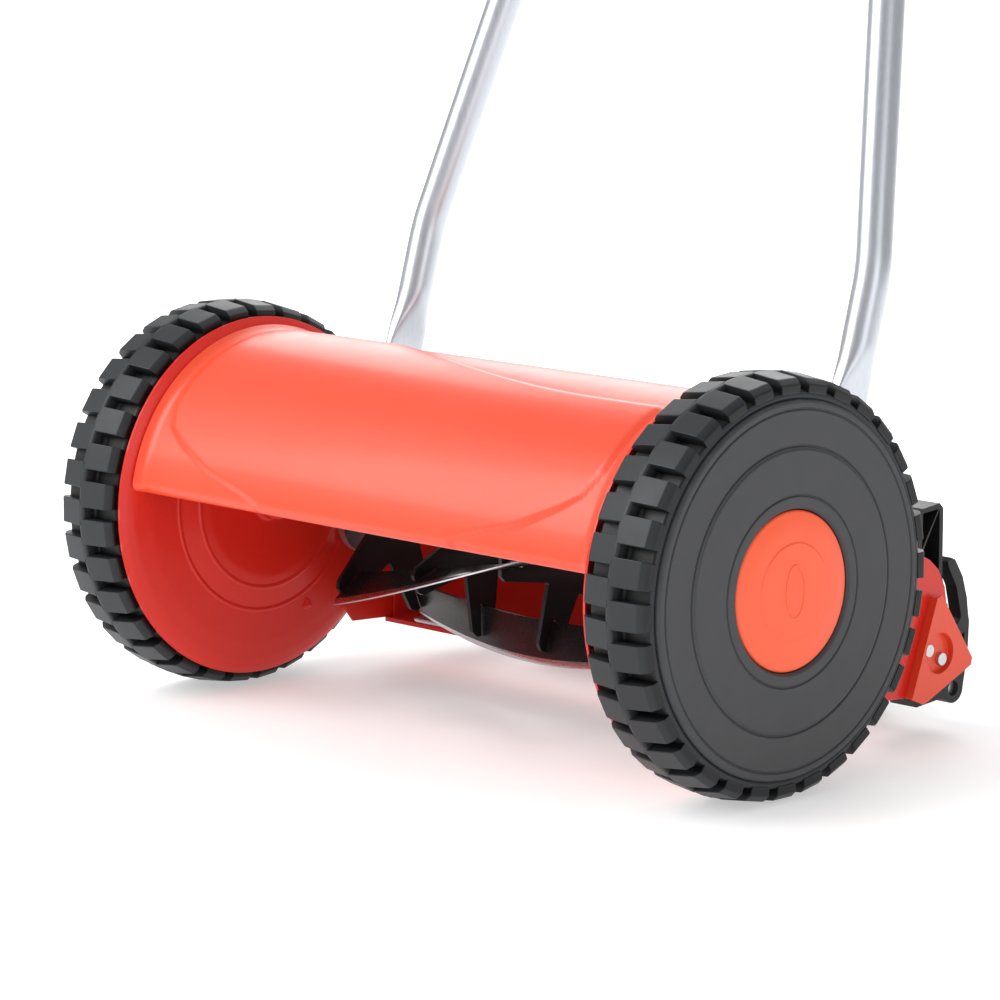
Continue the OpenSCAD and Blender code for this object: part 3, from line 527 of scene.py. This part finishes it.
def make_wheel(side_name, side):
    bm = bmesh.new()
    rim = rim_seat - .05
    back, web = tyre_in + 2.7, face_x - 4.9
    outline = [(5, back + 1.3), (14, back + 1.3), (14, web - 2.5), (40, web - 2.5), (46, web),
               (rim - RIM_WALL, web), (rim - RIM_WALL, back), (rim, back), (rim, flat_x - 1.6),
               (rim - 1.3, flat_x)]
    outline += groove(90.7, flat_x) + groove(72.4, flat_x) + [(71.2, flat_x), (70.4, flat_x + .9)]
    outline += groove(48, flat_x + .9) + [(cap_r + 1.8, face_x), (cap_r + .5, face_x - 1.6)]
    outline += [(cap_r + .4, face_x - 5.6), (11, face_x - 5.6), (11, face_x - 11), (5, face_x - 11)]
    turned(bm, softened(outline, .5, 2), steps=192, closed=True)
    ring = bmesh.new()
    tooth = [(88.6, 2.35), (84.75, .95), (84.75, -.95), (88.6, -2.35), (91.2, -2.35), (91.2, 2.35)]
    low, high = pinion_low.x - TOOTH_OVERHANG, pinion_high.x + TOOTH_OVERHANG
    flank = [(low, axle.y + r * MM, axle.z + t * MM) for r, t in tooth]
    pushed(ring, flank, (high - low, 0, 0))
    turn = Matrix.Rotation(mesh_turn + pi / TEETH, 3, "X")
    bmesh.ops.rotate(ring, verts=ring.verts, cent=axle, matrix=turn)
    repeated(ring, TEETH)
    joined(bm, ring)
    name = side_name + "_wheel"
    return finished(bm, name + "_moulding", grey_plastic, name, [name], side)


for side_name, side in SIDES:
    wheel = make_wheel(side_name, side)
print("wheel faces:", len(wheel.data.polygons), "mesh turn:", round(math.degrees(mesh_turn), 2))

# %% [markdown]
# ## Hub caps
# A cap is a shallow dome with a low step, turned in one go. An upright oval ridge in its middle
# is a small ring, spun and then squeezed, so that a plain moulded mark catches the light.

# %% Turn the caps
RIDGE_R = 13.2


def make_cap(side_name, side):
    bm = bmesh.new()
    top = cap_high.x / MM - .35
    step = cap_r * .6
    slope = cap_r - 2.4 - step
    dome = [(step + .5 + slope * i / 8, top - .8 - 1.5 * (i / 8) ** 2) for i in range(9)]
    crown = [(step * i / 6, top - .3 * (i / 6) ** 2) for i in range(7)]
    foot = cap_low.x / MM
    inside = [(0, top - 3), (cap_r - 4, top - 3.6), (cap_r - 3, foot), (cap_r, foot)]
    outline = inside + [(cap_r, top - 3.2), (cap_r - .8, top - 2.5)] + dome[::-1] + crown[::-1]
    turned(bm, softened(outline, .35, 2), steps=160)
    ridge = bmesh.new()
    round_bar = [2 * pi * i / 10 for i in range(10)]
    ring = [(RIDGE_R + .8 * cos(a), top - .1 + .44 * sin(a)) for a in round_bar]
    turned(ridge, ring, steps=72, closed=True)
    to_origin = Matrix.Translation(-axle)
    ridge.transform(Matrix.Translation(axle) @ Matrix.Diagonal((1, .5, 1, 1)) @ to_origin)
    joined(bm, ridge)
    body = side_name + "_wheel"
    return finished(bm, side_name + "_cap_dome", red_plastic, body,
                    [side_name + "_hub_cap"], side)


for side_name, side in SIDES:
    cap = make_cap(side_name, side)
print("cap faces:", len(cap.data.polygons))

# %% [markdown]
# ## The pressed deck
# The deck is one sheet, rolled round the axle and pressed: a raised panel with cut corners at
# the front, a sweeping step at the back, flared ends that meet the side plates, and a folded
# front lip. A flat grid is rolled up point by point, then given the thickness of the sheet.

# %% Roll and press the deck
deck_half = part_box("deck")[1].x / MM
DECK_R = 92.9
BACK, FRONT = 52.0, 168.7
LIP, LIP_BEND = 8.0, 3.4
SHEET = 1.2
RISE, RAMP = 1.5, 1.4
FLARE_START, FLARE_WIDTH, FLARE_RISE = 165.3, 7.2, 3.5
STEP_FLAT, STEP_ANGLE, STEP_SWEEP = 118, 108.4, 7.4e-4


def ease(value, start, end):
    t = min(1, max(0, (value - start) / (end - start)))
    return t * t * (3 - 2 * t)


def panel_half(angle):
    """Half the width of the raised panel at an angle round the axle."""
    corners = [(BACK, 161), (140, 161), (148, 155), (153, 143), (160.6, 118), (165.6, 88), (FRONT, 74)]
    for (a0, w0), (a1, w1) in zip(corners, corners[1:]):
        if angle <= a1:
            return w0 + (w1 - w0) * (angle - a0) / (a1 - a0)
    return corners[-1][1]


def step_angle(x):
    """Where the sweeping step at the back of the panel lies."""
    return STEP_ANGLE - STEP_SWEEP * max(0, STEP_FLAT - x) ** 2


def deck_height(x, angle):
    """Radius of the sheet's outer face, round the axle."""
    sides = 1 - ease(abs(x), panel_half(angle) - RAMP, panel_half(angle) + RAMP)
    back = ease(angle, step_angle(x) - 1.0, step_angle(x) + 1.0)
    flare = FLARE_RISE * max(0, (abs(x) - FLARE_START) / FLARE_WIDTH) ** 2
    return DECK_R - RISE + RISE * sides * back + flare


def make_deck():
    bm = bmesh.new()
    arc = DECK_R * radians(FRONT - BACK)
    bmesh.ops.create_grid(bm, x_segments=170, y_segments=150, size=0.5)
    for v in bm.verts:
        x = v.co.x * 2 * deck_half
        s = (v.co.y + 0.5) * (arc + LIP)
        angle = BACK + math.degrees(min(s, arc) / DECK_R)
        r = deck_height(x, angle)
        past = max(0, s - arc)
        curl = min(past / LIP_BEND, pi / 2)
        forward = LIP_BEND * sin(curl)
        inward = LIP_BEND * (1 - cos(curl)) + max(0, past - LIP_BEND * pi / 2)
        a = radians(angle)
        y = (r - inward) * cos(a) - forward * sin(a)
        z = (r - inward) * sin(a) + forward * cos(a)
        v.co = Vector((x * MM, axle.y + y * MM, axle.z + z * MM))
    bmesh.ops.recalc_face_normals(bm, faces=bm.faces)
    outward = bm.faces[len(bm.faces) // 2]
    if outward.normal.dot(outward.calc_center_median() - axle) < 0:
        bmesh.ops.reverse_faces(bm, faces=bm.faces)
    bmesh.ops.solidify(bm, geom=bm.faces[:], thickness=SHEET * MM)
    # The deck wears the lighter copy of the red, which is painted light.
    return finished(bm, "pressed_deck", lit_deck_paint, "frame", ["deck"], sharp=50)


deck = make_deck()
print("deck faces:", len(deck.data.polygons))

# %% [markdown]
# ## Side plates
# A side plate is a pressed dish that closes the wheel's inner side, with two thin beads round
# the middle and a boss where the axle enters. A flat tail behind it carries the bedknife and the
# roller. The dish is turned with its beads in the outline; the tail is a flat outline, extruded.

# %% Press the side plates
plate_low, plate_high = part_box("right_side_plate")
bracket_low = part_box("right_height_bracket")[0]
PLATE = 1.5
dish_top = plate_high.x / MM - PLATE
hub_x = plate_low.x / MM
tail_x = dish_top - 5.2
BOSS_FOOT_R = 13


def bead(radius, x, rise=.55, width=1.3):
    """A thin pressed bead that stands inwards, listed from its outer edge to its inner one."""
    return [(radius + width, x), (radius + width * .4, x - rise), (radius - width * .4, x - rise),
            (radius - width, x)]


def make_side_plate(side_name, side):
    bm = bmesh.new()
    inner = [(100, dish_top), (97, dish_top - 1.8), (92, dish_top - 3.6), (82, dish_top - 5.3)]
    inner += bead(63.5, dish_top - 6.6) + [(58, dish_top - 7.7)] + bead(50.5, dish_top - 9.2)
    inner += [(44, hub_x), (BOSS_FOOT_R, hub_x), (11.5, hub_x - 1.5), (11.5, hub_x - 8)]
    inner += [(10, hub_x - 9), (0, hub_x - 9)]
    inner = [tuple(p) for p in softened(inner, 2.0, 4)]
    outer = [(r, x + PLATE) for r, x in inner if r > BOSS_FOOT_R]
    turned(bm, [(0, hub_x + PLATE)] + outer[::-1] + inner, 192)
    back = (bracket_low.y - axle.y) / MM
    arc = [(88 * cos(radians(a)), 88 * sin(radians(a))) for a in range(-50, 9, 4)]
    tail = [(90, 12), (104, 4), (150, -5), (back + 10, -12), (back + 17, -18), (back + 22.5, -28),
            (back + 24, -36), (back + 27, -80), (150, -84), (66, -80)]
    plate = bmesh.new()
    points = [(tail_x * MM, axle.y + y * MM, axle.z + z * MM) for y, z in tail + arc]
    pushed(plate, points, (PLATE * MM, 0, 0))
    rims = [e for e in plate.edges if e.calc_face_angle(0) > radians(60)]
    eased_edges(plate, rims, .3)
    joined(bm, plate)
    dimple = bmesh.new()
    bmesh.ops.create_cone(dimple, cap_ends=True, segments=3, radius1=6.5 * MM, radius2=2.2 * MM,
                          depth=3.2 * MM)
    eased_edges(dimple, dimple.edges[:], .6, 3)
    place = Matrix.Translation((dish_top * MM - .0066, axle.y + .030, axle.z - .065))
    dimple.transform(place @ Matrix.Rotation(-pi / 2, 4, "Y") @ Matrix.Rotation(.5, 4, "Z"))
    joined(bm, dimple)
    name = side_name + "_side_plate"
    return finished(bm, name + "_pressed", red_paint, "frame", [name], side, sharp=45)


for side_name, side in SIDES:
    plate = make_side_plate(side_name, side)
print("side plate faces:", len(plate.data.polygons), "hub at", round(hub_x, 1))

# %% [markdown]
# ## Handle tubes
# Each lower tube starts as a flat foot with a round end, swells into a full tube, and bends
# inwards and back to upright in two easy bends. It is drawn through stations: a rounded oblong
# at the foot becomes a circle, and the ring tilts with the path.

# %% Draw the lower tubes
pivot = Vector(joints["handle_swing"]["pos_m"])
fold = Vector(joints["handle_fold"]["pos_m"])
lean = math.atan2(fold.y - pivot.y, fold.z - pivot.z)
fold_up = (fold - pivot).length / MM
tube_low, tube_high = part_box("right_lower_tube")
TUBE_R = 9.5
foot_x = tube_high.x / MM - TUBE_R
fold_x = tube_low.x / MM + TUBE_R
FOOT_WIDTH, FOOT_SHEET, FOOT_UP, NECK = 13.0, 2.5, 92.0, 30.0
FLAT, ROUND = 7, 2
TURN_IN, TURN_OUT, TURN_R, TURN_STEPS = 137.0, 300.0, 110.0, 12
side_bend = math.atan2(foot_x - fold_x, TURN_OUT - TURN_IN)
print("handle leans", round(math.degrees(lean), 1), "bends", round(math.degrees(side_bend), 1))


def handle_place(x, y, z):
    """A point of the upright handle, in millimetres from its pivot, put where it leans."""
    return Vector((x * MM, pivot.y + (y * cos(lean) + z * sin(lean)) * MM,
                   pivot.z + (z * cos(lean) - y * sin(lean)) * MM))


def oblong(half_x, half_y, squareness, points=40):
    """Points of a rounded oblong; a squareness of 2 is an ellipse, and more is boxier."""
    ring = []
    for i in range(points):
        a = 2 * pi * i / points
        power = 2 / squareness
        x = math.copysign(abs(cos(a)) ** power, cos(a))
        y = math.copysign(abs(sin(a)) ** power, sin(a))
        ring.append((half_x * x, half_y * y))
    return ring


def tube_stations(top):
    """(x, z, tilt, half thickness, half width, squareness) from the foot to the top."""
    rows = []
    first = radians(8)
    for i in range(9):
        a = first + (pi / 2 - first) * i / 8
        rows.append((foot_x, -FOOT_WIDTH * cos(a), 0, FOOT_SHEET, FOOT_WIDTH * sin(a), FLAT))
    rows.append((foot_x, FOOT_UP - NECK, 0, FOOT_SHEET, FOOT_WIDTH, FLAT))
    for i in range(1, 13):
        t = ease(i / 12, 0, 1)
        thick = FOOT_SHEET + (TUBE_R - FOOT_SHEET) * t
        wide = FOOT_WIDTH + (TUBE_R - FOOT_WIDTH) * t
        z = FOOT_UP - NECK + (NECK + 8) * i / 12
        rows.append((foot_x, z, 0, thick, wide, ROUND + (FLAT - ROUND) * (1 - t) ** 2))
    reach = TURN_R * math.tan(side_bend / 2)
    for start_x, start_z, way in ((foot_x, TURN_IN, 1), (fold_x, TURN_OUT, -1)):
        for i in range(TURN_STEPS + 1):
            a = side_bend * (i if way > 0 else TURN_STEPS - i) / TURN_STEPS
            x = start_x - way * TURN_R * (1 - cos(a))
            z = start_z + way * (TURN_R * sin(a) - reach)
            rows.append((x, z, a, TUBE_R, TUBE_R, ROUND))
    rows.append((fold_x, top, 0, TUBE_R, TUBE_R, ROUND))
    return rows


tube_top = fold_up + 22


def make_lower_tube(side_name, side):
    bm = bmesh.new()
    stations = []
    for x, z, tilt, thick, wide, squareness in tube_stations(tube_top):
        ring = oblong(thick, wide, squareness)
        stations.append([handle_place(x + u * cos(tilt), v, z + u * sin(tilt)) for u, v in ring])
    drawn(bm, stations)
    name = side_name + "_lower_tube"
    return finished(bm, name + "_bent", handle_silver, "handle", [name], side, 50)


for side_name, side in SIDES:
    tube = make_lower_tube(side_name, side)
print("tube faces:", len(tube.data.polygons))

# %% [markdown]
# ## Foam grip
# The grip is a foam sleeve, a little fuller at the middle, with rounded ends and shallow finger
# rings near each end. It is turned round the handle's crossbar.

# %% Turn the grip
RINGS, RING_PITCH = 4, 7


def make_grip():
    low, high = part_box("handle_grip")
    centre = (low + high) / 2
    half = high.x / MM
    full = (high.y - low.y) / 2 / MM
    inner = 9.6
    outline = [(inner, -half), (full - 2.2, -half), (full - .4, -half + 2)]
    for k in range(RINGS):
        x = -half + 8 + RING_PITCH * k
        outline += [(full - .4, x - 1.6), (full - 1.2, x), (full - .4, x + 1.6)]
    left = [(r, -x) for r, x in outline[::-1]]
    outline += [(full - .35 + .35 * cos(x / half * pi / 2), x) for x in (-30, -15, 0, 15, 30)]
    bm = bmesh.new()
    turned(bm, softened(outline + left, .8, 3), steps=72, centre=centre, closed=True)
    return finished(bm, "grip_sleeve", foam, "upper_handle", ["handle_grip"], sharp=60)


grip = make_grip()
print("grip faces:", len(grip.data.polygons))

# %% [markdown]
# ## Reel blades
# Each blade is a flat strip, twisted along the shaft, with its back ground away so that only a
# narrow land meets the bedknife. It is drawn through seventy turned sections, fine enough for the
# light to run smoothly along the twist.

# %% Draw the blades
BLADES, SECTIONS = 5, 70
BLADE_TWIST = radians(86)
BLADE_START = radians(178)
blade_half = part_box("reel_blade_1")[1].x / MM
reel_len = 2 * blade_half


def make_blade(number):
    section = [(36, -1), (57.4, -1), (59.9, .1), (59.97, .95), (59.6, 1), (36, 1)]
    stations = []
    for i in range(SECTIONS + 1):
        x = -blade_half + reel_len * i / SECTIONS
        a = BLADE_START + number * 2 * pi / BLADES - BLADE_TWIST * x / reel_len
        stations.append([(x * MM, reel.y + (r * cos(a) - t * sin(a)) * MM,
                          reel.z + (r * sin(a) + t * cos(a)) * MM) for r, t in section])
    bm = bmesh.new()
    drawn(bm, stations)
    name = f"reel_blade_{number + 1}"
    return finished(bm, name + "_ground", blade_steel, "reel", [name], sharp=25)


for number in range(BLADES):
    blade = make_blade(number)
print("blade faces:", len(blade.data.polygons))

# %% [markdown]
# ## Rounded edges on the exact parts
# Plates, brackets and knobs are right as they are, apart from their knife-sharp edges. Each is
# copied from the frame, its loose triangles are merged into clean faces, and every real edge is
# rounded by a few tenths of a millimetre, as pressing, moulding and paint would leave it.

# %% Copy and round them
def rounded(node, finish, width):
    part = frame["nodes"][node]
    bm = bmesh.new()
    bm.from_mesh(part.data)
    bmesh.ops.remove_doubles(bm, verts=bm.verts, dist=5e-6)
    bmesh.ops.dissolve_limit(bm, angle_limit=radians(1.0), verts=bm.verts, edges=bm.edges)
    real = [e for e in bm.edges if e.is_manifold and e.calc_face_angle() > radians(25)]
    eased_edges(bm, real, width)
    mesh = bpy.data.meshes.new(node + "_rounded")
    bm.to_mesh(mesh)
    bm.free()
    mesh.shade_smooth()
    mesh.set_sharp_from_angle(angle=radians(40))
    placed(mesh, node + "_rounded", finish, part["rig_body"], [node])


for side_name, side in SIDES:
    # The corner brackets wear the deck's lighter copy of the red, which is painted light.
    rounded(side_name + "_corner_bracket", lit_deck_paint, .5)
    rounded(side_name + "_height_bracket", black_plastic, .6)
    rounded(side_name + "_wing_knob", black_plastic, 1.0)
rounded("bedknife_carrier", red_paint, .4)
rounded("bedknife", knife_steel, .25)
SCREWS = {"height_screws": .35, "handle_pivot_bolts": .5, "fold_bolts": .4,
          "carrier_screws": .4, "bedknife_screws": .3}
for node, width in SCREWS.items():
    rounded(node, zinc_steel, width)
print("edges rounded")

# %% [markdown]
# ## Finishes for the parts that stay
# The rest of the frame keeps its own mesh and only gets its finish. A part that is hidden by a
# made piece is passed over. A word in a part's name picks its finish, and a later row wins.

# %% Give each remaining part its finish
FINISHES = (
    ("red_paint", red_paint, ("cross_tube",)),
    ("black_paint", black_paint, ("reel_disc",)),
    ("black_plastic", black_plastic, ("roller", "tube_end_plugs", "saddle_washers", "wheel_bush")),
    ("handle_silver", handle_silver, ("upper_handle",)),
    ("zinc_steel", zinc_steel, ("roller_rod", "axle", "reel_shaft", "rivets", "pinion",
                                "drive_key", "bearing", "clips")),
)
for node, part in frame["nodes"].items():
    if part.hide_render:
        continue
    rows = [row for row in FINISHES if any(word in node for word in row[2])]
    slot_name, finish, words = rows[-1]
    part.data.materials.clear()
    part.data.materials.append(finish.material)
    print(node, "->", slot_name)

# %% [markdown]
# ## The studio
# A pale floor runs out to the horizon, so it fills the picture. Its glow is painted darker near
# the mower and brighter further out: a painted shadow round the mower, deepening the soft shadow
# that the lamps cast, and a brighter glow that keeps the far floor white. Light comes from a white
# tent: an even sky, a wide soft box above the front left corner, and three weaker ones above,
# behind and beside the mower.

# %% Lay the floor and light it
floor_finish = Finish("studio_floor", Roughness=0.9, IOR=1.2, Emission_Strength=1.0)
floor_cloud = floor_finish.noise(0.7, 2)
floor_finish.colour(floor_finish.blend(floor_cloud, shade(.66, .66, .66), shade(.68, .68, .68)))
length = {"operation": "LENGTH"}
far = floor_finish.add("ShaderNodeVectorMath", length, {0: floor_finish.place}, "Value")
# The glow is painted darker near the mower, as a painted shadow, and brighter further out, where it
# keeps the far floor white.
GLOW_START, GLOW_END = 0.12, 0.6
painted_shadow_near, far_glow = shade(.38, .38, .38), shade(.80, .80, .80)
glow = floor_finish.blend(far.step(GLOW_START, GLOW_END), painted_shadow_near, far_glow)
floor_finish.feed(floor_finish.shader.inputs["Emission Color"], glow)
ground = bmesh.new()
bmesh.ops.create_grid(ground, x_segments=4, y_segments=4, size=40)
floor_mesh = bpy.data.meshes.new("studio_floor")
ground.to_mesh(floor_mesh)
ground.free()
floor_mesh.materials.append(floor_finish.material)
floor = bpy.data.objects.new("studio_floor", floor_mesh)
bpy.context.scene.collection.objects.link(floor)

sky = bpy.data.worlds.new("white_tent")
bpy.context.scene.world = sky
sky.use_nodes = True
sky.node_tree.nodes["Background"].inputs["Color"].default_value = shade(1, 1, 1)
sky.node_tree.nodes["Background"].inputs["Strength"].default_value = 0.52


def soft_box(name, place, target, size, power):
    data = bpy.data.lights.new(name, "AREA")
    data.energy = power
    data.size = size
    lamp = bpy.data.objects.new(name, data)
    bpy.context.scene.collection.objects.link(lamp)
    lamp.location = place
    lamp.rotation_euler = (Vector(target) - Vector(place)).to_track_quat("-Z", "Y").to_euler()


soft_box("key_box", (-1.5, -2.3, 2.2), axle, 2.4, 92)
soft_box("top_box", (-0.7, 1.9, 2.3), axle, 1.6, 26)
soft_box("back_box", (-1.9, 2.0, 1.45), axle, 2.0, 34)
soft_box("side_box", (2.6, -0.9, 1.0), axle, 1.4, 9)
print("studio lit")
